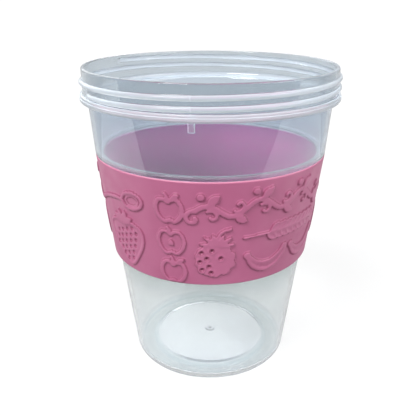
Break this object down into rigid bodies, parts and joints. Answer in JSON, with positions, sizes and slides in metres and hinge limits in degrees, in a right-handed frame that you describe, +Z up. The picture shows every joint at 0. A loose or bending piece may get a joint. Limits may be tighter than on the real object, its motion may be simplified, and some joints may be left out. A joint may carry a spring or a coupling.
{
  "type": "yogurt parfait cup",
  "caption": "Clear plastic to-go cup for yogurt or parfait, empty and without its lid, with a wide neck for a screw lid and a soft pink grip sleeve seated under a ledge in its tapered wall.",
  "frame": {"origin": "centre of the foot, on the surface that the cup stands on", "axes": "+Z up along the cup's axis, -Y towards the viewer, the lug under the collar just left of -Y"},
  "size_m": [0.1017, 0.1016, 0.125],
  "materials": {
    "clear_plastic": "clear, smooth",
    "silicone": "satin, raised ornament"
  },
  "bodies": {
    "root": {"cup": "clear_plastic", "sleeve": "silicone"}
  },
  "joints": []
}
